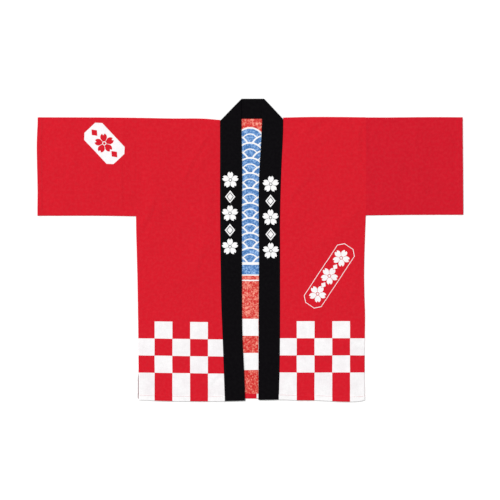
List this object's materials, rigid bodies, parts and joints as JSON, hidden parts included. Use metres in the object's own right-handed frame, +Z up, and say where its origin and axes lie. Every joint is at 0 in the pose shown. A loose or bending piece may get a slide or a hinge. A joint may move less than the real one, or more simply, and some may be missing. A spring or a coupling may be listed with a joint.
{
  "type": "happi coat",
  "caption": "Short straight-cut festival coat laid flat, with wide sleeves, a doubled band collar from hem to hem and a check border above the hem.",
  "frame": {"origin": "on the surface that the coat lies on, under the middle of its outline", "axes": "+X from the left cuff to the right cuff as seen from above, +Y from the hem to the collar, +Z up from the surface"},
  "size_m": [1.278, 0.9102, 0.0061],
  "materials": {
    "printed_cotton": "matte plain weave, printed red",
    "black_cotton": "matte plain weave, dyed black"
  },
  "bodies": {
    "root": {"back": "printed_cotton", "front_left": "printed_cotton", "front_right": "printed_cotton", "sleeve_left": "printed_cotton", "sleeve_right": "printed_cotton", "collar": "black_cotton"}
  },
  "joints": []
}
